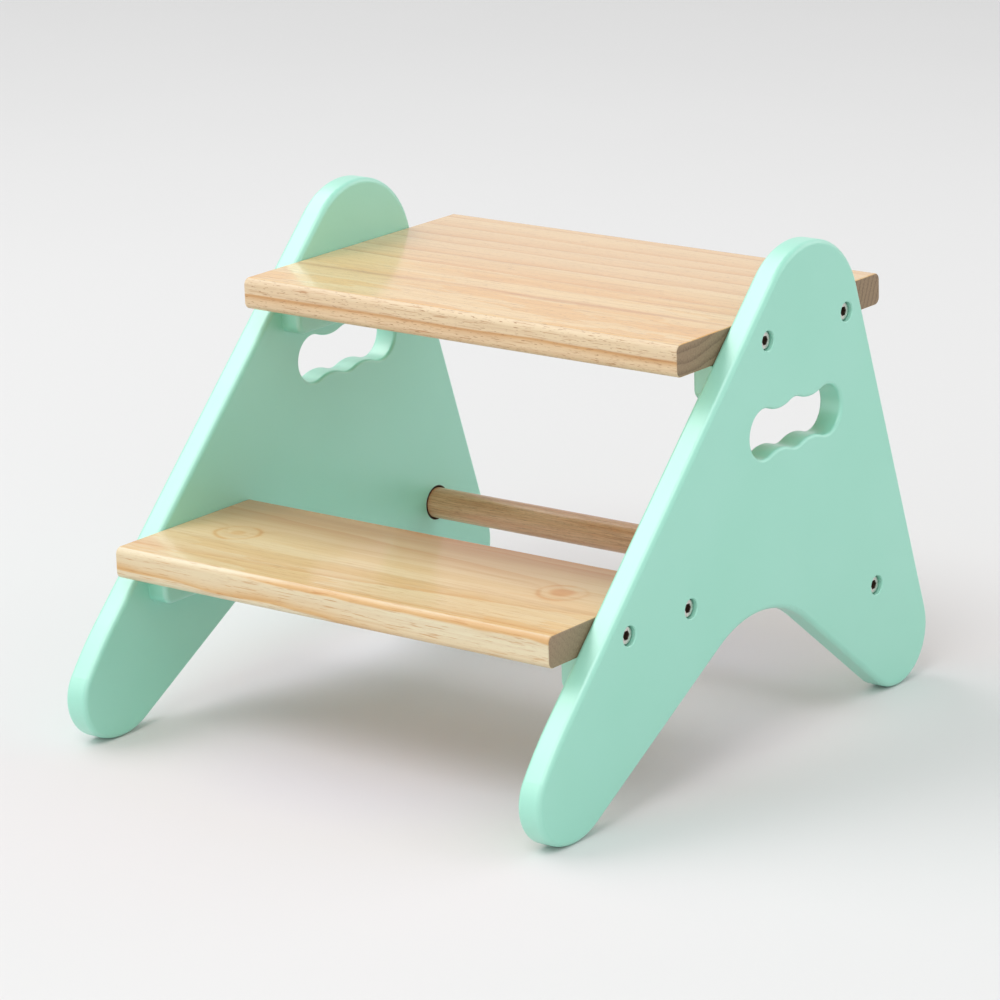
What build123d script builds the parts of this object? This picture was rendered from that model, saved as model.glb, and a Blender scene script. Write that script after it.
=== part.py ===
from build123d import *
import os
from collections import namedtuple
from math import atan2, cos, dist, hypot, pi, radians, sin, sqrt

# A two-step stool for a child, in millimetres: X runs across it, Y from front to rear, Z up.
# The origin is on the floor, in the middle of the footprint.

# Overall size
overall_width = 330
overall_depth = 368
overall_height = 276

# Side panels: rounds joined by straight edges that touch them
panel_thickness = 15
panel_edge_round = 3
arch_radius = 48          # top of the panel
arch_y = 69
toe_radius = 25           # front of the front foot
sole_radius = 40          # underside of the front foot
sole_angle = 70           # degrees below level where the toe passes into the sole
sweep_radius = 200        # slow curve from the toe into the straight front edge
sweep_angle = 35          # degrees above level where the toe passes into the sweep
heel_radius = 30.5        # rear foot
crotch_radius = 74        # hollow between the two legs
crotch_y = 16
crotch_height = 80

# Hand holes: a row of finger lobes with shallow necks between them
grip_y = 53.75
grip_drop = 97.3          # from the top of the panels
grip_lobe_radius = 13.9
grip_lobe_pitch = 29.8
grip_neck_depth = 2.9
grip_edge_round = 2

# Step boards
board_thickness = 18
board_edge_round = 4
board_end_round = 1
top_tread_drop = 37.5     # from the top of the panels
top_board_front = -35.5
top_board_depth = 194.5
lower_tread_z = 110
lower_board_inset = 31    # from the front end of the panels
lower_board_depth = 116

# Cleats that carry the ends of the boards
cleat_width = 13
cleat_height = 21
cleat_corner_round = 6
cleat_edge_round = 3
top_cleat_inset = 31.5    # from the front edge of the board
top_cleat_length = 119
lower_cleat_inset = 25.5
lower_cleat_length = 80

# Hidden wooden pins that hold each cleat to its panel
pin_diameter = 6
pin_depth_in_panel = 9
pin_depth_in_cleat = 9
pin_end_inset = 20        # from each end of the cleat
pin_chamfer = 0.8
pin_end_gap = 0.5
pin_fit = 0.1

# Crossbar between the rear legs
crossbar_diameter = 18.5
crossbar_inset = 52.5     # from the rear end of the panels
crossbar_z = 65.5
crossbar_chamfer = 1
socket_depth = 4
socket_gap = 0.8

# Machine bolts with a low round head and a hexagon socket
bolt_diameter = 6
bolt_head_diameter = 10
bolt_head_height = 4
bolt_head_round = 0.6
bolt_tip_chamfer = 0.8
hex_across_flats = 5
hex_depth = 2.6
head_recess = 2.3         # from the panel face down to the head
head_gap = 0.5
recess_chamfer = 0.5
shank_gap = 0.4
thread_gap = 0.15
bore_end_gap = 3
bolt_past_nut = 2.2
bolt_past_insert = 5.2
top_bolt_inset = 63       # from the front edge of the board
top_bolt_pitch = 75.8
top_bolt_drop = 0         # below the middle of the board
lower_bolt_inset = 50
lower_bolt_pitch = 55.5
lower_bolt_drop = 1.5

# Barrel nuts, let into the boards from below
nut_diameter = 10
nut_length = 12
nut_setback = 30          # from the end of the board to the middle of the nut
nut_chamfer = 0.6
nut_fit = 0.15
nut_end_gap = 0.5
nut_slot_width = 1.4
nut_slot_depth = 1.6

# Threaded inserts in the ends of the crossbar
insert_diameter = 9
insert_length = 16
insert_chamfer = 0.5
insert_fit = 0.1
insert_end_gap = 0.5

grip_z = overall_height - grip_drop
top_tread_z = overall_height - top_tread_drop
lower_board_front = lower_board_inset - overall_depth / 2
crossbar_y = overall_depth / 2 - crossbar_inset
panel_inner_x = overall_width / 2 - panel_thickness
bolt_seat_x = overall_width / 2 - head_recess - bolt_head_height
board_length = 2 * panel_inner_x
crossbar_end_x = panel_inner_x + socket_depth
nut_x = panel_inner_x - nut_setback
step_bolt_tip_x = nut_x - nut_diameter / 2 - bolt_past_nut
crossbar_bolt_tip_x = crossbar_end_x - insert_length - bolt_past_insert
shortest_edge = 0.001

Round = namedtuple("Round", "y z radius")
Step = namedtuple("Step", "front depth under bolts_y bolts_z cleat_front cleat_length")


def step(tread, front, depth, bolt_inset, bolt_pitch, bolt_drop, cleat_inset, cleat_length):
    bolts_y = (front + bolt_inset, front + bolt_inset + bolt_pitch)
    bolts_z = tread - board_thickness / 2 - bolt_drop
    under = tread - board_thickness
    return Step(front, depth, under, bolts_y, bolts_z, front + cleat_inset, cleat_length)


steps = {
    "top": step(
        top_tread_z, top_board_front, top_board_depth, top_bolt_inset, top_bolt_pitch,
        top_bolt_drop, top_cleat_inset, top_cleat_length),
    "lower": step(
        lower_tread_z, lower_board_front, lower_board_depth, lower_bolt_inset, lower_bolt_pitch,
        lower_bolt_drop, lower_cleat_inset, lower_cleat_length),
}


def touching_edge(first, second):
    # The straight edge that leaves one round and lands on the next, with both on its right.
    # A hollow round has a negative radius and lies on the left instead.
    across, up = second.y - first.y, second.z - first.z
    span = hypot(across, up)
    lean = (first.radius - second.radius) / span
    square = sqrt(max(0, 1 - lean**2))
    normal_y = (across * lean - up * square) / span
    normal_z = (up * lean + across * square) / span
    leave = (first.y + normal_y * first.radius, first.z + normal_z * first.radius)
    land = (second.y + normal_y * second.radius, second.z + normal_z * second.radius)
    return leave, (leave if dist(leave, land) < shortest_edge else land)


def round_edge(item, start, end):
    # Full rounds turn clockwise seen from the right of the stool, hollow ones the other way
    start_turn = atan2(start[1] - item.z, start[0] - item.y)
    end_turn = atan2(end[1] - item.z, end[0] - item.y)
    way = -1 if item.radius > 0 else 1
    turn = way * ((way * (end_turn - start_turn)) % (2 * pi))
    middle_turn = start_turn + turn / 2
    reach = abs(item.radius)
    middle = (item.y + reach * cos(middle_turn), item.z + reach * sin(middle_turn))
    return Edge.make_three_point_arc((0, *start), (0, *middle), (0, *end))


def plate(rounds, start_x, end_x):
    # A plate with an outline of rounds, clockwise, and the straight edges between them
    straights = [touching_edge(a, b) for a, b in zip(rounds, rounds[1:] + rounds[:1])]
    edges = []
    for index, item in enumerate(rounds):
        leave, land = straights[index]
        edges.append(round_edge(item, straights[index - 1][1], leave))
        if leave != land:
            edges.append(Edge.make_line((0, *leave), (0, *land)))
    face = Pos(start_x, 0, 0) * Face(Wire(edges))
    return extrude(face, amount=end_x - start_x, dir=(1, 0, 0))


def rod(diameter, start_x, end_x, y, z):
    middle = Pos((start_x + end_x) / 2, y, z)
    return middle * Rot(0, 90, 0) * Cylinder(diameter / 2, end_x - start_x)


def panel_rounds():
    front = -overall_depth / 2
    toe_to_sole = sole_radius - toe_radius
    toe_to_sweep = sweep_radius - toe_radius
    toe_y = front + toe_radius
    toe_z = sole_radius - toe_to_sole * sin(radians(sole_angle))
    sole_y = toe_y + toe_to_sole * cos(radians(sole_angle))
    sweep_y = toe_y + toe_to_sweep * cos(radians(sweep_angle))
    sweep_z = toe_z - toe_to_sweep * sin(radians(sweep_angle))
    return [
        Round(toe_y, toe_z, toe_radius),
        Round(sweep_y, sweep_z, sweep_radius),
        Round(arch_y, overall_height - arch_radius, arch_radius),
        Round(overall_depth / 2 - heel_radius, heel_radius, heel_radius),
        Round(crotch_y, crotch_height - crotch_radius, -crotch_radius),
        Round(sole_y, sole_radius, sole_radius),
    ]


def grip_rounds():
    # Each neck is a hollow round that touches the lobes on both sides of it
    half_pitch = grip_lobe_pitch / 2
    neck_half_height = grip_lobe_radius - grip_neck_depth
    neck_radius = (half_pitch**2 + neck_half_height**2 - grip_lobe_radius**2) / (2 * grip_neck_depth)
    neck_rise = neck_half_height + neck_radius
    front, rear = grip_y - grip_lobe_pitch, grip_y + grip_lobe_pitch
    return [
        Round(front, grip_z, grip_lobe_radius),
        Round(grip_y - half_pitch, grip_z + neck_rise, -neck_radius),
        Round(grip_y, grip_z, grip_lobe_radius),
        Round(grip_y + half_pitch, grip_z + neck_rise, -neck_radius),
        Round(rear, grip_z, grip_lobe_radius),
        Round(grip_y + half_pitch, grip_z - neck_rise, -neck_radius),
        Round(grip_y, grip_z, grip_lobe_radius),
        Round(grip_y - half_pitch, grip_z - neck_rise, -neck_radius),
    ]


def pin_places(item):
    z = item.under - cleat_height / 2
    front = item.cleat_front + pin_end_inset
    rear = item.cleat_front + item.cleat_length - pin_end_inset
    return [(front, z), (rear, z)]


def bolt_places():
    places = [(y, item.bolts_z) for item in steps.values() for y in item.bolts_y]
    return places + [(crossbar_y, crossbar_z)]


# Every piece below is made for the right-hand end, at positive X, and mirrored for the left

def side_panel():
    outer_x = overall_width / 2
    panel = plate(panel_rounds(), panel_inner_x, outer_x)
    panel = fillet(panel.faces().filter_by(Axis.X).edges(), panel_edge_round)
    panel -= plate(grip_rounds(), panel_inner_x, outer_x)
    grip_rims = [rim for face in panel.faces().filter_by(Axis.X) for rim in face.inner_wires()]
    panel = fillet([edge for rim in grip_rims for edge in rim.edges()], grip_edge_round)
    recess_radius = bolt_head_diameter / 2 + head_gap
    mouth = Rot(0, 90, 0) * Cone(recess_radius, recess_radius + recess_chamfer, recess_chamfer)
    for y, z in bolt_places():
        panel -= rod(bolt_diameter + 2 * shank_gap, panel_inner_x, outer_x, y, z)
        panel -= rod(2 * recess_radius, bolt_seat_x, outer_x, y, z)
        panel -= Pos(outer_x - recess_chamfer / 2, y, z) * mouth
    panel -= rod(crossbar_diameter + 2 * socket_gap, panel_inner_x, crossbar_end_x, crossbar_y, crossbar_z)
    pin_hole_end = panel_inner_x + pin_depth_in_panel + pin_end_gap
    for item in steps.values():
        for y, z in pin_places(item):
            panel -= rod(pin_diameter + 2 * pin_fit, panel_inner_x, pin_hole_end, y, z)
    return panel


def step_board(item):
    middle_y, middle_z = item.front + item.depth / 2, item.under + board_thickness / 2
    board = Pos(0, middle_y, middle_z) * Box(board_length, item.depth, board_thickness)
    board = fillet(board.edges().filter_by(Axis.X), board_edge_round)
    board = fillet(board.faces().filter_by(Axis.X).edges(), board_end_round)
    bore_end_x = step_bolt_tip_x - bore_end_gap
    nut_top_z = item.bolts_z + nut_length / 2 + nut_end_gap
    nut_hole_depth = nut_top_z - item.under
    for y in item.bolts_y:
        for side in (-1, 1):
            start_x, end_x = sorted((side * bore_end_x, side * panel_inner_x))
            board -= rod(bolt_diameter + 2 * shank_gap, start_x, end_x, y, item.bolts_z)
            nut_middle = Pos(side * nut_x, y, nut_top_z - nut_hole_depth / 2)
            board -= nut_middle * Cylinder(nut_diameter / 2 + nut_fit, nut_hole_depth)
    return board


def cleat(item):
    middle = Pos(
        panel_inner_x - cleat_width / 2, item.cleat_front + item.cleat_length / 2,
        item.under - cleat_height / 2)
    bar = middle * Box(cleat_width, item.cleat_length, cleat_height)
    bar = fillet(bar.edges().filter_by(Axis.X).group_by(Axis.Z)[0], cleat_corner_round)
    bar = fillet(bar.faces().sort_by(Axis.X)[0].edges().sort_by(Axis.Z)[:-1], cleat_edge_round)
    pin_hole_end = panel_inner_x - pin_depth_in_cleat - pin_end_gap
    for y, z in pin_places(item):
        bar -= rod(pin_diameter + 2 * pin_fit, pin_hole_end, panel_inner_x, y, z)
    return bar


def cleat_pin(y, z):
    start_x, end_x = panel_inner_x - pin_depth_in_cleat, panel_inner_x + pin_depth_in_panel
    pin = rod(pin_diameter, start_x, end_x, y, z)
    return chamfer(pin.edges().filter_by(GeomType.CIRCLE), pin_chamfer)


def bolt(tip_x, y, z):
    head_x = bolt_seat_x + bolt_head_height
    head = rod(bolt_head_diameter, bolt_seat_x, head_x, y, z)
    head = fillet(head.edges().filter_by(GeomType.CIRCLE).sort_by(Axis.X)[-1], bolt_head_round)
    shank = rod(bolt_diameter, tip_x, bolt_seat_x, y, z)
    shank = chamfer(shank.edges().filter_by(GeomType.CIRCLE).sort_by(Axis.X)[0], bolt_tip_chamfer)
    hexagon = Plane((head_x, y, z), x_dir=(0, 1, 0), z_dir=(1, 0, 0)) * RegularPolygon(
        hex_across_flats / 2, 6, major_radius=False)
    return head + shank - extrude(hexagon, amount=-hex_depth)


def barrel_nut(y, z):
    nut = Pos(nut_x, y, z) * Cylinder(nut_diameter / 2, nut_length)
    nut = chamfer(nut.edges().filter_by(GeomType.CIRCLE), nut_chamfer)
    nut -= rod(bolt_diameter + 2 * thread_gap, nut_x - nut_diameter, nut_x + nut_diameter, y, z)
    slot_z = z - nut_length / 2 + nut_slot_depth / 2
    return nut - Pos(nut_x, y, slot_z) * Box(nut_diameter, nut_slot_width, nut_slot_depth)


def crossbar():
    bar = rod(crossbar_diameter, -crossbar_end_x, crossbar_end_x, crossbar_y, crossbar_z)
    bar = chamfer(bar.edges().filter_by(GeomType.CIRCLE), crossbar_chamfer)
    insert_hole_end = crossbar_end_x - insert_length - insert_end_gap
    bore_end_x = crossbar_bolt_tip_x - bore_end_gap
    for side in (-1, 1):
        for diameter, inner_x in (
                (insert_diameter + 2 * insert_fit, insert_hole_end),
                (bolt_diameter + 2 * shank_gap, bore_end_x)):
            start_x, end_x = sorted((side * inner_x, side * crossbar_end_x))
            bar -= rod(diameter, start_x, end_x, crossbar_y, crossbar_z)
    return bar


def crossbar_insert():
    start_x = crossbar_end_x - insert_length
    insert = rod(insert_diameter, start_x, crossbar_end_x, crossbar_y, crossbar_z)
    insert = chamfer(insert.edges().filter_by(GeomType.CIRCLE), insert_chamfer)
    return insert - rod(bolt_diameter + 2 * thread_gap, start_x, crossbar_end_x, crossbar_y, crossbar_z)


def right_hand_pieces():
    yield "{side}_side_panel", [side_panel()]
    for name, item in steps.items():
        yield name + "_{side}_cleat", [cleat(item)]
        yield name + "_{side}_cleat_pins", [cleat_pin(y, z) for y, z in pin_places(item)]
        yield name + "_{side}_bolts", [bolt(step_bolt_tip_x, y, item.bolts_z) for y in item.bolts_y]
        yield name + "_{side}_barrel_nuts", [barrel_nut(y, item.bolts_z) for y in item.bolts_y]
    yield "crossbar_{side}_bolt", [bolt(crossbar_bolt_tip_x, crossbar_y, crossbar_z)]
    yield "crossbar_{side}_insert", [crossbar_insert()]


nodes = {"crossbar": [crossbar()]}
for step_name, step_item in steps.items():
    nodes[step_name + "_step_board"] = [step_board(step_item)]
for pattern, solids in right_hand_pieces():
    nodes[pattern.format(side="right")] = solids
    nodes[pattern.format(side="left")] = [mirror(solid, about=Plane.YZ) for solid in solids]

os.makedirs("parts", exist_ok=True)
for node, solids in nodes.items():
    shape = solids[0] if len(solids) == 1 else Compound(children=solids)
    export_step(shape, f"parts/{node}.step")
print("overall", Compound(children=[s for group in nodes.values() for s in group]).bounding_box().size)
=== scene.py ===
import math

import bpy
import numpy as np
from mathutils import Matrix, Vector


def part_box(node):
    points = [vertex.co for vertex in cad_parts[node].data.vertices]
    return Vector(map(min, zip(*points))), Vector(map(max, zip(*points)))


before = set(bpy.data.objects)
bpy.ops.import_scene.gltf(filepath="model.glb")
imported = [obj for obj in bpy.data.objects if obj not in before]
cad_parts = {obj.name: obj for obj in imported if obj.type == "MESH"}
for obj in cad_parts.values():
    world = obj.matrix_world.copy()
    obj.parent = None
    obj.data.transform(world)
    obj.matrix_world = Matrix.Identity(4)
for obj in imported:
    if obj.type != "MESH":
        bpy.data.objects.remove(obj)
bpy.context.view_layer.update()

perMetre = 1000  # the frame is in metres, and the finishes count in millimetres
noiseMiddle = 0.5  # noise swings about this value
print("frame:", len(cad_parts), "nodes")


class Wire:
    # one output socket of a node tree; sums and products of wires and numbers add Math nodes
    def __init__(self, tree, socket=None):
        self.tree = tree
        self.socket = socket

    # any node: its type, its settings, then the values or wires of its sockets
    def node(self, kind, settings=None, sockets=None, out=0):
        made = self.tree.nodes.new("ShaderNode" + kind)
        for key, value in (settings or {}).items():
            setattr(made, key, value)
        for key, value in (sockets or {}).items():
            if isinstance(value, Wire):
                self.tree.links.new(value.socket, made.inputs[key])
            else:
                made.inputs[key].default_value = value
        return Wire(self.tree, made.outputs[out])

    # a Math node with this wire in its first socket
    def maths(self, operation, *others):
        return self.node("Math", {"operation": operation}, dict(enumerate((self, *others))))

    def __add__(self, other):
        return self.maths("ADD", other)

    def __sub__(self, other):
        return self.maths("SUBTRACT", other)

    def __rsub__(self, other):
        return self.node("Math", {"operation": "SUBTRACT"}, {0: other, 1: self})

    def __mul__(self, other):
        return self.maths("MULTIPLY", other)

    def __truediv__(self, other):
        return self.maths("DIVIDE", other)

    def __pow__(self, other):
        return self.maths("POWER", other)

    def __abs__(self):
        return self.maths("ABSOLUTE")

    __radd__ = __add__
    __rmul__ = __mul__

    # 0 below low, 1 above high, a soft step between
    def step(self, low, high):
        sockets = {"Value": self, "From Min": low, "From Max": high}
        return self.node("MapRange", {"interpolation_type": "SMOOTHSTEP"}, sockets)

    # squeezed from the range of 0 to 1 into the range of least to 1
    def lifted(self, least):
        return least + (1 - least) * self

    # e to the minus square: 1 at zero, falling off to both sides
    def bell(self):
        return (self * self * -1).maths("EXPONENT")

    # the distance from zero of a point with these two coordinates
    def distance(self, other):
        return (self * self + other * other) ** 0.5

    # this wire picks between two colours, which are inputs 6 and 7 of a Mix node and its output 2
    def pick(self, first, second):
        sides = [c if isinstance(c, Wire) else (*c, 1) for c in (first, second)]
        return self.node("Mix", {"data_type": "RGBA"}, {0: self, 6: sides[0], 7: sides[1]}, 2)

    # this wire lays a clear stain over a colour
    def stained(self, colour, stain):
        settings = {"data_type": "RGBA", "blend_type": "MULTIPLY"}
        return self.node("Mix", settings, {0: self, 6: colour, 7: (*stain, 1)}, 2)

    # noise on this vector, with its own grain count along X, Y and Z
    def noise(self, grain, detail, roughness=0.5):
        squeezed = self.node("VectorMath", {"operation": "MULTIPLY"}, {0: self, 1: grain})
        sockets = {"Vector": squeezed, "Scale": 1, "Detail": detail, "Roughness": roughness}
        return self.node("TexNoise", {}, sockets)

    # the three numbers of a vector
    def parts(self):
        split = self.node("SeparateXYZ", {}, {0: self})
        return [Wire(self.tree, socket) for socket in split.socket.node.outputs]


def newFinish(name):
    # a new material, its shader, and the place on the stool in millimetres
    material = bpy.data.materials.new(name)
    material.use_nodes = True
    tree = material.node_tree
    place = Wire(tree).node("TexCoord", out="Object")
    millimetres = place.node("VectorMath", {"operation": "SCALE"}, {0: place, "Scale": perMetre})
    return material, tree.nodes["Principled BSDF"], millimetres


def feed(surface, **sockets):
    # socket names come in as camelCase words: baseColor feeds Base Color
    tree = surface.id_data
    for word, value in sockets.items():
        name = "".join(" " + c if c.isupper() else c for c in word).title()
        name = {"Coat Ior": "Coat IOR", "Specular Level": "Specular IOR Level"}.get(name, name)
        if isinstance(value, Wire):
            tree.links.new(value.socket, surface.inputs[name])
        else:
            surface.inputs[name].default_value = value


def bumped(height, strength, depth):
    return height.node("Bump", {}, {"Strength": strength, "Distance": depth, "Height": height})


def counted(start, step):
    # a soft step whose two limits are counted from start
    return [start + limit for limit in step]


# in every finish, a Noise is its grain count for each millimetre along X, Y and Z, its detail, and its
# roughness where that isn't one half; a Step is where a soft step begins and ends; a bump is its strength
# and its depth in metres; a Dry is what is added to the roughness
mintLook = {
    # the near-black colour of the sockets is bare wood in painted shade, also laid on a thin ring round them
    # on the face
    "colour": (0.29, 0.735, 0.566), "tint": (0.31, 0.75, 0.59), "bare": (0.06, 0.035, 0.02),
    "driftNoise": ((0.012, 0.012, 0.012), 2), "driftStep": (0.3, 0.7),
    "roughness": 0.42, "smearNoise": ((0.05, 0.03, 0.03), 3), "smearDry": 0.16, "specular": 0.9,
    "gloss": 0.7, "edgeGloss": 1.0, "glossRoughness": 0.4, "glossIor": 1.87,
    "edgeStep": (0.9, 0.995), "edgeDry": 0.05,
    "peelNoise": ((0.55, 0.55, 0.55), 1), "bump": (0.05, 0.0004),
    # the bare sockets, with painted shade in them and on a thin ring round them on the face, in millimetres:
    # out from the bar, about the panel's inner face, past the bar's end
    "ringStep": (1.2, 1.5), "mouthStep": (-0.05, -0.01), "bottomStep": (0.3, 0.5), "bareDry": 0.5,
}


def mintPaint():
    # satin paint: slow drift of tone, fine orange peel, rounded edges glossier than the flat faces, and
    # near-black painted shade in and round the crossbar's sockets
    look = mintLook
    material, surface, place = newFinish("mint_paint")
    x, y, z = place.parts()
    sideways = place.node("NewGeometry", out="Normal").parts()[0]
    drift = place.noise(*look["driftNoise"])
    peel = place.noise(*look["peelNoise"])
    smear = place.noise(*look["smearNoise"]) - noiseMiddle
    edge = 1 - abs(sideways).step(*look["edgeStep"])
    # no paint in the crossbar's sockets, which lie behind the inner faces, and a near-black colour there and
    # on a thin ring round them on the face: bare wood with painted shade, the ring being painted shadow of
    # the gap round the bar
    low, high = (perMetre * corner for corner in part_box("crossbar"))
    middle, reach = (low + high) / 2, (high.y - low.y) / 2
    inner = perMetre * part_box("right_side_panel")[0].x
    away = (y - middle.y).distance(z - middle.z)
    bare = 1 - away.step(*counted(reach, look["ringStep"]))
    bare = bare * abs(x).step(*counted(inner, look["mouthStep"]))
    bare = bare * (1 - abs(x).step(*counted(high.x, look["bottomStep"])))
    gloss = look["gloss"] + edge * (look["edgeGloss"] - look["gloss"])
    dry = smear * look["smearDry"] + edge * look["edgeDry"] + bare * look["bareDry"]
    paint = drift.step(*look["driftStep"]).pick(look["colour"], look["tint"])
    feed(
        surface, baseColor=bare.pick(paint, look["bare"]), specularLevel=look["specular"],
        roughness=look["roughness"] + dry, coatWeight=gloss * (1 - bare),
        coatRoughness=look["glossRoughness"], coatIor=look["glossIor"], normal=bumped(peel, *look["bump"]))
    return material


# what both boards share; a Least is the lowest value of a mask that runs up to 1
pineLook = {
    "fleck": (0.30, 0.13, 0.05), "amber": (0.97, 0.81, 0.56), "knot": (0.90, 0.66, 0.40),
    "endPale": (0.35, 0.245, 0.15), "endDark": (0.14, 0.085, 0.05),
    "roughness": 0.44, "endDry": 0.2, "fibreDry": 0.15, "specular": 0.35, "bump": (0.06, 0.0003),
    # growth rings: how they sway, how a year deepens and stops, how much pale years keep of it
    "wanderNoise": ((0.006, 0.021, 0.021), 2), "rippleNoise": ((0.016, 0.08, 0.08), 2),
    "grownStep": (0.2, 0.93), "grownPower": 2, "stopStep": (0.93, 1.0), "tonePower": 3, "toneLeast": 0.15,
    # knots: longer along X if knotAlong is below 1, with a core, its limits as shares of its reach, and a rim
    "knotAlong": 0.9, "knotRipple": 5, "coreStep": (0.55, 1.15), "rimWidth": 1.3,
    "rimNoise": ((0.06, 0.06, 0.06), 1), "rimStep": (0.35, 0.6), "rimLeast": 0.4,
    # streaks: they fade in places, and begin softly about their first X
    "fadeNoise": ((0.008, 0.05, 0.05), 2), "fadeStep": (0.3, 0.6), "fadeLeast": 0.6, "startStep": (-30, 30),
    # tone along the grain, from the broad stripes to the finest flecks
    "stripeNoise": ((0.0035, 0.07, 0.07), 3), "stripeStep": (0.35, 0.68),
    # how strongly the rear darkens, evenly and along the stripes; on the lower board that is painted shadow
    "heartAndShadeBase": 0.6, "heartAndShadeStripe": 0.7,
    "patchNoise": ((0.013, 0.07, 0.07), 3), "patchStep": (0.49, 0.53), "patch": 0.4,
    "flameNoise": ((0.02, 0.3, 0.3), 3), "flameStep": (0.4, 0.75), "flame": 0.8,
    "fibreNoise": ((0.012, 0.5, 0.5), 4, 0.65),
    "dashNoise": ((0.07, 1.5, 1.5), 1), "dashStep": (0.6, 0.72), "dash": 0.55,
    "fleckNoise": ((0.22, 2.2, 2.2), 1), "fleckStep": (0.63, 0.7), "fleckLeast": 0.6,
    # faces, told apart by the way they point: front and rear, ends, and the flat top
    "frontStep": (0.08, 0.4), "front": 0.85, "frontStreak": 0.5,
    "endStep": (0.55, 0.9), "gritNoise": ((0.9, 0.9, 0.9), 4, 0.65), "gritFrom": 0.4, "grit": 1.4,
    "flatStep": (0.9, 0.995),
}

# where each board was sawn from the log, in millimetres: the pith is the middle of the growth rings;
# amber is strongest at its first Y and gone at its second, the heart tone comes in from its first Y to its
# second,
# darkening the rear: darker wood, and on the lower board painted shadow of the top board above it;
# streaks are dark years (ring radius, its growth for each millimetre along X, width of the sharp edge,
# width of the soft side, strength, X where it begins), and outward says which side of them is sharp;
# knots are (X, Y, reach of the core, reach of the rim, lift of the rings, strength of core, of rim)
topCut = {
    "pale": (0.84, 0.585, 0.275), "tan": (0.80, 0.50, 0.19), "front": (0.73, 0.60, 0.42),
    "late": (0.42, 0.20, 0.08), "streak": (0.90, 0.69, 0.47), "heartAndShade": (0.79, 0.55, 0.275),
    "amber": 0.9, "amberY": (-20, 90), "heartAndShadeY": (40, 90),
    "pithY": -26, "pithZ": 306, "ringCount": 8.5, "ringRadius": 70, "ringPower": 1.4,
    "wander": 5, "ripple": 3, "lateStrength": 0.2, "line": 0.34, "outward": -1, "fibre": 1.3,
    "fleckStrength": 0.75, "lacquer": 0.9, "edgeLacquer": 0.1, "lacquerRoughness": 0.13, "endRings": 0.4,
    "streaks": [
        (77.6, 0, 1.0, 1.6, 0.9, -400), (88.5, 0.02, 0.7, 5, 0.8, -60), (101, -0.01, 0.7, 7, 1.0, -400),
        (119.8, 0.015, 0.8, 8, 1.2, -400), (138.5, 0, 0.8, 8, 0.7, -400), (152.7, 0.02, 0.8, 8, 0.9, -400),
        (168, 0, 0.8, 8, 0.75, -400), (187.6, 0, 0.8, 7, 0.65, -400),
    ],
    "knots": [],
}
lowerCut = {
    "pale": (0.835, 0.65, 0.388), "tan": (0.79, 0.575, 0.30), "front": (0.75, 0.695, 0.505),
    # the dark rear colour of the lower board is painted shadow of the top board, over darker wood
    "late": (0.52, 0.25, 0.075), "streak": (0.89, 0.63, 0.39), "heartAndShade": (0.47, 0.27, 0.125),
    "amber": 0.5, "amberY": (-145, -70), "heartAndShadeY": (-105, -50),
    "pithY": -98, "pithZ": 147, "ringCount": 7, "ringRadius": 40, "ringPower": 1.3,
    "wander": 8, "ripple": 5, "lateStrength": 0.24, "line": 0.14, "outward": 1, "fibre": 1.1,
    "fleckStrength": 0.14, "lacquer": 0.55, "edgeLacquer": 0.4, "lacquerRoughness": 0.12, "endRings": 0.12,
    "streaks": [
        (47.6, -0.052, 0.7, 6, 0.6, -400), (57.5, 0, 0.6, 3, 0.3, -400), (62, 0, 0.8, 2, 0.9, 0),
        (67.5, 0, 1.4, 3.0, 1.3, -40), (77.2, 0.037, 1.0, 3.5, 1.0, -400), (84, 0.03, 1.0, 3, 0.5, -400),
    ],
    "knots": [(-110.5, -94.5, 5, 12, 4, 0.6, 0.9), (110, -88.5, 7.5, 12.5, 4, 0.95, 0.8)],
}


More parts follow.
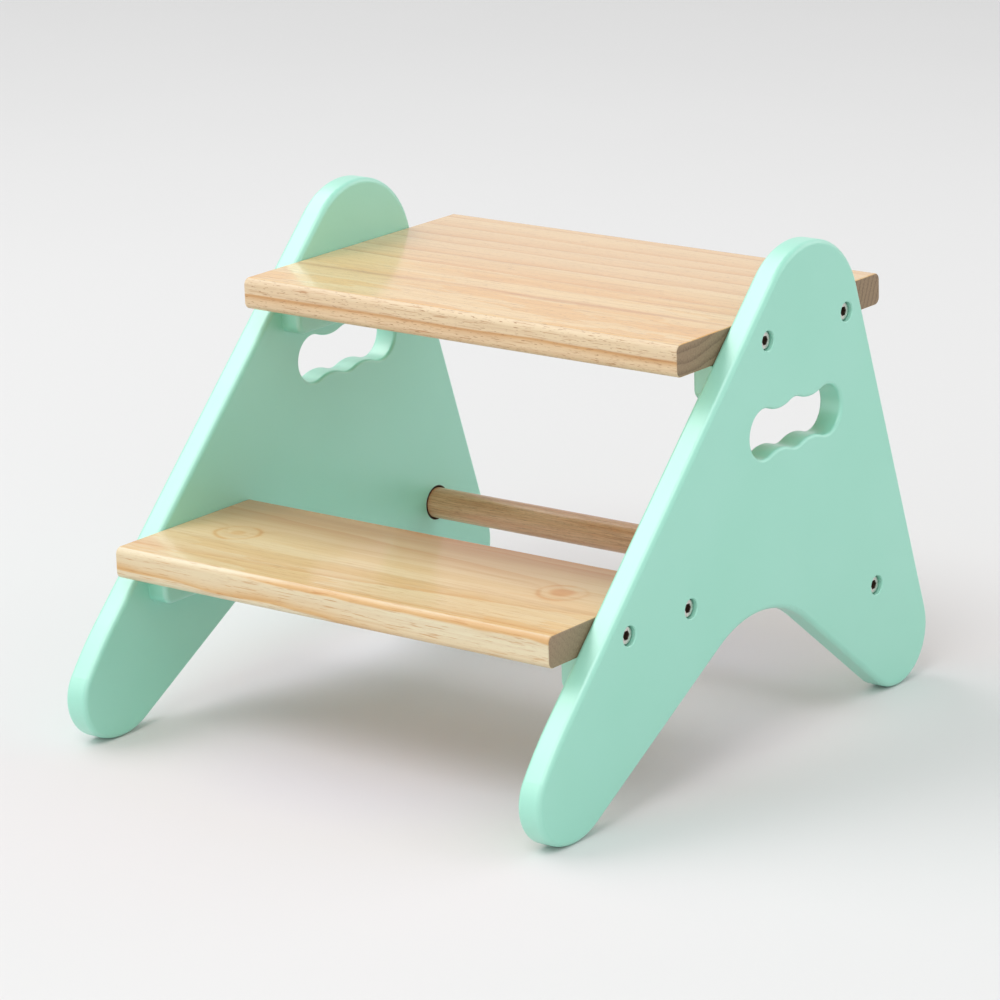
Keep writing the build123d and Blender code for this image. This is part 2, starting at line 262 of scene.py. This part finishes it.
def pine(name, cut):
    # lacquered pine: rings about the pith, streaks and flecks along X, dull dark end grain, and a darker rear
    # that on the lower board is painted shadow of the top board
    look = pineLook
    material, surface, place = newFinish(name)
    x, y, z = place.parts()
    sideways, forwards, upwards = place.node("NewGeometry", out="Normal").parts()
    wander = place.noise(*look["wanderNoise"]) - noiseMiddle
    ripple = place.noise(*look["rippleNoise"]) - noiseMiddle
    radius = (y - cut["pithY"]).distance(z - cut["pithZ"]) + wander * cut["wander"]
    radius = radius + ripple * cut["ripple"]
    # the rings swell round a knot, which has a dark core and a darker rim
    stain = 0.0
    for knotX, knotY, coreReach, rimReach, lift, core, rim in cut["knots"]:
        away = ((x - knotX) * look["knotAlong"]).distance(y - knotY) + ripple * look["knotRipple"]
        uneven = place.noise(*look["rimNoise"]).step(*look["rimStep"]).lifted(look["rimLeast"])
        radius = radius + lift * (away / rimReach).bell()
        stain = stain + (1 - away.step(*(coreReach * share for share in look["coreStep"]))) * core
        stain = stain + ((away - rimReach) / look["rimWidth"]).bell() * uneven * rim
    # a year's tone deepens outwards and stops at a sharp edge
    ring = cut["ringCount"] * (radius / cut["ringRadius"]) ** cut["ringPower"]
    share = ring.maths("FRACT")
    year = ring.maths("FLOOR")
    tone = year.node("TexWhiteNoise", {"noise_dimensions": "1D"}, {"W": year})
    grown = share.step(*look["grownStep"]) ** look["grownPower"] * (1 - share.step(*look["stopStep"]))
    late = grown * (tone ** look["tonePower"]).lifted(look["toneLeast"]) * cut["lateStrength"]
    # a dark year swells softly from one side and has a fine line on its sharp side
    fade = place.noise(*look["fadeNoise"]).step(*look["fadeStep"]).lifted(look["fadeLeast"])
    streak = 0.0
    for yearRadius, growth, edge, soft, strength, start in cut["streaks"]:
        gap = (radius - yearRadius - growth * x) * cut["outward"]
        swell = (gap.maths("MINIMUM", 0) / soft).maths("EXPONENT")
        here = fade * strength * x.step(*counted(start, look["startStep"]))
        streak = streak + swell * (1 - gap.step(0, edge)) * here
        late = late + (gap / edge).bell() * here * cut["line"]
    fibre = place.noise(*look["fibreNoise"]) - noiseMiddle
    stripe = place.noise(*look["stripeNoise"])
    amber = 1 - y.step(*cut["amberY"])
    patch = place.noise(*look["patchNoise"]).step(*look["patchStep"])
    flame = place.noise(*look["flameNoise"]) * look["flame"] + patch * look["patch"]
    flame = flame.step(*look["flameStep"]) * amber
    dash = place.noise(*look["dashNoise"]).step(*look["dashStep"]) * amber
    fleck = place.noise(*look["fleckNoise"]).step(*look["fleckStep"])
    # darker towards the rear, along the stripes: darker wood, and on the lower board painted shadow of the
    # top board
    heartAndShade = y.step(*cut["heartAndShadeY"]) * (look["heartAndShadeBase"] + look["heartAndShadeStripe"] * stripe)
    front = abs(forwards).step(*look["frontStep"])
    body = stripe.step(*look["stripeStep"]).pick(cut["pale"], cut["tan"])
    body = (flame * cut["amber"]).stained(body, look["amber"])
    body = heartAndShade.pick(body, cut["heartAndShade"])
    body = (front * look["front"]).pick(body, cut["front"])
    body = (streak * (1 + front * look["frontStreak"])).stained(body, cut["streak"])
    body = (late + fibre * cut["fibre"] + dash * look["dash"]).pick(body, cut["late"])
    if cut["knots"]:
        body = stain.stained(body, look["knot"])
    body = (fleck * cut["fleckStrength"] * front.lifted(look["fleckLeast"])).pick(body, look["fleck"])
    grit = (place.noise(*look["gritNoise"]) - look["gritFrom"]) * look["grit"]
    end = (grown * cut["endRings"] + grit).pick(look["endPale"], look["endDark"])
    endGrain = abs(sideways).step(*look["endStep"])
    flat = upwards.step(*look["flatStep"])
    feed(
        surface, baseColor=endGrain.pick(body, end), specularLevel=look["specular"],
        roughness=look["roughness"] + endGrain * look["endDry"] + fibre * look["fibreDry"],
        coatWeight=cut["edgeLacquer"] + flat * (cut["lacquer"] - cut["edgeLacquer"]),
        coatRoughness=cut["lacquerRoughness"], normal=bumped(fibre + late - fleck, *look["bump"]))
    return material


dowelLook = {
    "brown": (0.67, 0.335, 0.157), "dark": (0.40, 0.185, 0.085), "light": (0.80, 0.49, 0.27),
    "shade": (0.10, 0.05, 0.025), "sunkStep": (-0.2, 0.4),  # millimetres past the panel's inner face
    "roughness": 0.45, "fibreDry": 0.2, "lacquer": 0.5, "lacquerRoughness": 0.22,
    "stripeNoise": ((0.012, 0.35, 0.35), 3), "stripeStep": (0.3, 0.7),
    "fibreNoise": ((0.06, 2.2, 2.2), 3), "fibreStep": (0.35, 0.7), "fibre": 0.5,
    "fleckNoise": ((0.28, 3.2, 3.2), 1), "darkStep": (0.6, 0.72), "darkFleck": 0.5,
    "lightStep": (0.28, 0.4), "lightFleck": 0.5, "fleckDepth": 0.5, "bump": (0.15, 0.0003),
}


def dowelWood():
    # close-grained brown wood with short flecks along X, dark where it enters the sockets
    look = dowelLook
    material, surface, place = newFinish("brown_wood")
    stripe = place.noise(*look["stripeNoise"])
    fibre = place.noise(*look["fibreNoise"])
    fleck = place.noise(*look["fleckNoise"])
    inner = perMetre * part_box("right_side_panel")[0].x
    sunk = abs(place.parts()[0]).step(*counted(inner, look["sunkStep"]))
    dark = fibre.step(*look["fibreStep"]) * look["fibre"] + fleck.step(*look["darkStep"]) * look["darkFleck"]
    light = (1 - fleck.step(*look["lightStep"])) * look["lightFleck"]
    body = stripe.step(*look["stripeStep"]).pick(look["brown"], look["light"])
    body = light.pick(dark.pick(body, look["dark"]), look["light"])
    feed(
        surface, baseColor=sunk.pick(body, look["shade"]),
        roughness=look["roughness"] + (fibre - noiseMiddle) * look["fibreDry"],
        coatWeight=look["lacquer"], coatRoughness=look["lacquerRoughness"],
        normal=bumped(fibre - fleck * look["fleckDepth"], *look["bump"]))
    return material


pinLook = {
    "pale": (0.72, 0.55, 0.36), "dark": (0.50, 0.34, 0.19), "roughness": 0.6, "fibreDry": 0.2,
    "fibreNoise": ((0.08, 1.8, 1.8), 3), "bump": (0.2, 0.0002),
}


def plainWood():
    # bare pale wood of the hidden pins
    look = pinLook
    material, surface, place = newFinish("plain_wood")
    fibre = place.noise(*look["fibreNoise"])
    feed(
        surface, baseColor=fibre.pick(look["pale"], look["dark"]),
        roughness=look["roughness"] + (fibre - noiseMiddle) * look["fibreDry"],
        normal=bumped(fibre, *look["bump"]))
    return material


boltLook = {
    # the socket colour is painted shade: near-black for the inside of the hex socket
    "nickel": (0.80, 0.765, 0.72), "dull": (0.62, 0.585, 0.55), "socket": (0.085, 0.045, 0.03),
    "scuffNoise": ((1.4, 1.4, 1.4), 3), "scuffStep": (0.3, 0.7), "bump": (0.04, 0.0002),
    "roughness": 0.3, "scuffDry": 0.2, "socketDry": 0.3, "socketMetal": 0.3,
    # the painted shade of the socket and of the gap round the head, in millimetres from the face of the head:
    # its mouth and its floor
    "mouthStep": (-0.7, -0.25), "floorStep": (-3.2, -2.9),
}


def boltNickel(node):
    # plated steel, with painted shade inside the socket, which lies just under the face of the head, and on
    # the side of the head down in its hole
    look = boltLook
    low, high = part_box(node)
    face = perMetre * max(abs(low.x), abs(high.x))
    material, surface, place = newFinish("bolt_steel")
    across = abs(place.parts()[0])
    scuff = place.noise(*look["scuffNoise"])
    # painted shade: near-black and less metallic from just under the face of the head down to the socket's
    # floor, on the socket's walls and the side of the head alike
    socket = 1 - across.step(*counted(face, look["mouthStep"]))
    socket = socket * across.step(*counted(face, look["floorStep"]))
    dry = (scuff - noiseMiddle) * look["scuffDry"] + socket * look["socketDry"]
    body = scuff.step(*look["scuffStep"]).pick(look["nickel"], look["dull"])
    feed(
        surface, baseColor=socket.pick(body, look["socket"]), roughness=look["roughness"] + dry,
        metallic=(1 - socket).lifted(look["socketMetal"]), normal=bumped(scuff, *look["bump"]))
    return material


nutLook = {
    "zinc": (0.62, 0.62, 0.62), "dull": (0.50, 0.505, 0.52), "roughness": 0.4, "scuffDry": 0.3,
    "scuffNoise": ((0.9, 0.9, 0.9), 3), "scuffStep": (0.3, 0.7), "bump": (0.05, 0.0002),
}


def nutZinc():
    # dull plated steel of the hidden nuts and inserts
    look = nutLook
    material, surface, place = newFinish("nut_steel")
    scuff = place.noise(*look["scuffNoise"])
    feed(
        surface, baseColor=scuff.step(*look["scuffStep"]).pick(look["zinc"], look["dull"]), metallic=1.0,
        roughness=look["roughness"] + (scuff - noiseMiddle) * look["scuffDry"],
        normal=bumped(scuff, *look["bump"]))
    return material


finishes = {
    "mint_paint": mintPaint(), "brown_wood": dowelWood(), "plain_wood": plainWood(),
    "bolt_steel": boltNickel("crossbar_right_bolt"), "nut_steel": nutZinc(),
}
boards = {"top_step_board": pine("top_pine", topCut), "lower_step_board": pine("lower_pine", lowerCut)}
for name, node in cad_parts.items():
    for slot in node.material_slots:
        slot.material = boards.get(name) or finishes[slot.material.name]
print("finishes:", len(finishes) + len(boards))


floorLook = {
    # in metres: the disc, the bend, the wall above it, and how far the floor lies below the feet
    "flat": 4.5, "bend": 0.5, "wall": 0.1, "drop": 0.0001,
    # the rings of the disc: the hole at its middle in metres, then its first and last ring as shares of it
    "rings": 40, "sectors": 96, "hole": 0.0001, "firstRing": 0.05, "lastRing": 0.98,
    # tones from the middle outwards, each fading into the next over its Step in millimetres; under and
    # near offset the coloured light that the stool throws, so that the floor looks grey
    "under": (0.795, 0.782, 0.845), "underStep": (140, 240), "underNarrow": 1.4,
    "near": (0.795, 0.772, 0.78), "far": (0.772, 0.772, 0.772), "farStep": (180, 480),
    # the rim tone is painted shade: the floor darkens far out, as light falling off with distance would
    "rim": (0.67, 0.67, 0.67), "rimStep": (900, 2700), "cloudNoise": ((0.004, 0.004, 0.004), 3), "cloud": 200,
    "roughness": 0.85, "specular": 0.15,
}


def studioFloor():
    # a flat disc that bends up into a round wall: the profile is carried once around Z,
    # point = (reach cos turn, reach sin turn, height), with reach and height along the profile
    look = floorLook
    tilt = np.linspace(0, math.pi / 2, look["rings"])
    disc = look["flat"] * np.linspace(look["firstRing"], look["lastRing"], look["rings"])
    reach = np.r_[look["hole"], disc, look["flat"] + look["bend"] * np.sin(tilt)]
    height = np.r_[np.zeros(look["rings"] + 1), look["bend"] * (1 - np.cos(tilt))]
    reach, height = np.r_[reach, reach[-1]], np.r_[height, height[-1] + look["wall"]] - look["drop"]
    turn = np.linspace(0, 2 * math.pi, look["sectors"], endpoint=False)
    level = np.outer(height, np.ones_like(turn))
    points = np.stack([np.outer(reach, np.cos(turn)), np.outer(reach, np.sin(turn)), level], -1)
    ring, sector = np.meshgrid(np.arange(len(reach) - 1), np.arange(len(turn)), indexing="ij")
    inner, outer = ring * len(turn), (ring + 1) * len(turn)
    beside = (sector + 1) % len(turn)
    faces = np.stack([inner + sector, outer + sector, outer + beside, inner + beside], -1).reshape(-1, 4)
    mesh = bpy.data.meshes.new("studio_floor")
    mesh.from_pydata(points.reshape(-1, 3).tolist(), [], faces.tolist())
    mesh.polygons.foreach_set("use_smooth", np.ones(len(faces), bool))
    floor = bpy.data.objects.new("studio_floor", mesh)
    bpy.context.scene.collection.objects.link(floor)
    material, surface, place = newFinish("studio_floor")
    x, y = place.parts()[:2]
    away = x.distance(y) + (place.noise(*look["cloudNoise"]) - noiseMiddle) * look["cloud"]
    under = 1 - ((x * x * look["underNarrow"] + y * y) ** 0.5).step(*look["underStep"])
    paint = under.pick(look["near"], look["under"])
    paint = away.step(*look["farStep"]).pick(paint, look["far"])
    # painted shade far out: the floor turns darker towards its rim
    paint = away.step(*look["rimStep"]).pick(paint, look["rim"])
    feed(surface, baseColor=paint, roughness=look["roughness"], specularLevel=look["specular"])
    # seen from below, the floor lets the eye through to the underside of the stool
    tree = material.node_tree
    behind = Wire(tree).node("NewGeometry", out="Backfacing")
    clear = Wire(tree).node("BsdfTransparent")
    solid = Wire(tree, surface.outputs[0])
    seen = Wire(tree).node("LightPath", out="Is Camera Ray")
    mixed = solid.node("MixShader", {}, {0: behind * seen, 1: solid, 2: clear})
    tree.links.new(mixed.socket, tree.nodes["Material Output"].inputs[0])
    mesh.materials.append(material)
    return floor


studioFloor()
print("floor: done")


lampLook = {
    "worldLight": 0.54, "worldSeen": 0.88, "aim": (0, 0, 0.1),
    "seenBy": ("Is Camera Ray", "Is Glossy Ray", "Is Transmission Ray"),
    # name, place, width and height, watts; the lower ones are wide and weak, because the lacquered boards
    # mirror them strongly when seen from a low angle
    "lamps": [
        ("main", (0.9, -3.1, 5.0), (2.4, 2.4), 78),
        ("left", (-3.9, -1.0, 5.2), (7.5, 3.0), 190),
        ("right", (3.8, 4.4, 2.6), (7.0, 4.8), 84),
        ("front", (3.2, -3.6, 2.0), (5.0, 3.6), 34),
        ("low", (-3.0, -3.6, 1.7), (5.5, 3.2), 37),
    ],
}


def studioLight():
    look = lampLook
    world = bpy.data.worlds.new("studio")
    bpy.context.scene.world = world
    world.use_nodes = True
    tree = world.node_tree
    sky = tree.nodes["Background"]
    sky.inputs["Color"].default_value = (1, 1, 1, 1)
    # the pale studio shows to the eye and in gloss, and lights the stool less than that
    eye, gloss, glass = (Wire(tree).node("LightPath", out=kind) for kind in look["seenBy"])
    seen = (eye + gloss + glass).maths("MINIMUM", 1)
    strength = look["worldLight"] + seen * (look["worldSeen"] - look["worldLight"])
    tree.links.new(strength.socket, sky.inputs["Strength"])
    for name, place, size, watts in look["lamps"]:
        lamp = bpy.data.lights.new(name, "AREA")
        lamp.shape = "RECTANGLE"
        lamp.size, lamp.size_y = size
        lamp.energy = watts
        holder = bpy.data.objects.new(name, lamp)
        bpy.context.scene.collection.objects.link(holder)
        holder.location = place
        holder.visible_camera = False
        holder.rotation_euler = (Vector(look["aim"]) - Vector(place)).to_track_quat("-Z", "Y").to_euler()


studioLight()
print("light: done")


cameraLook = {
    "azimuth": 38.11, "elevation": 16.155, "roll": -1.754,  # degrees
    "aim": (0, 0, 0.110), "distance": 2.5558, "aside": -0.00058, "above": -0.01203,  # metres
    "lens": 164.83, "sensor": 36,  # millimetres
}


def studioCamera():
    # stands on a line from the aim point, then slides aside and up without turning
    look = cameraLook
    azimuth, elevation, roll = (math.radians(look[k]) for k in ("azimuth", "elevation", "roll"))
    reach = math.cos(elevation)
    back = Vector((math.sin(azimuth) * reach, -math.cos(azimuth) * reach, math.sin(elevation)))
    level = Vector((math.cos(azimuth), math.sin(azimuth), 0))
    upright = back.cross(level)
    right = level * math.cos(roll) + upright * math.sin(roll)
    up = upright * math.cos(roll) - level * math.sin(roll)
    place = Vector(look["aim"]) + back * look["distance"] - right * look["aside"] - up * look["above"]
    lens = bpy.data.cameras.new("photo_view")
    lens.lens = look["lens"]
    lens.sensor_width = look["sensor"]
    camera = bpy.data.objects.new("photo_view", lens)
    bpy.context.scene.collection.objects.link(camera)
    turned = Matrix((right, up, back)).transposed().to_4x4()
    camera.matrix_world = Matrix.Translation(place) @ turned
    bpy.context.scene.camera = camera


studioCamera()
bpy.context.scene.view_settings.view_transform = "Standard"
print("camera: done")
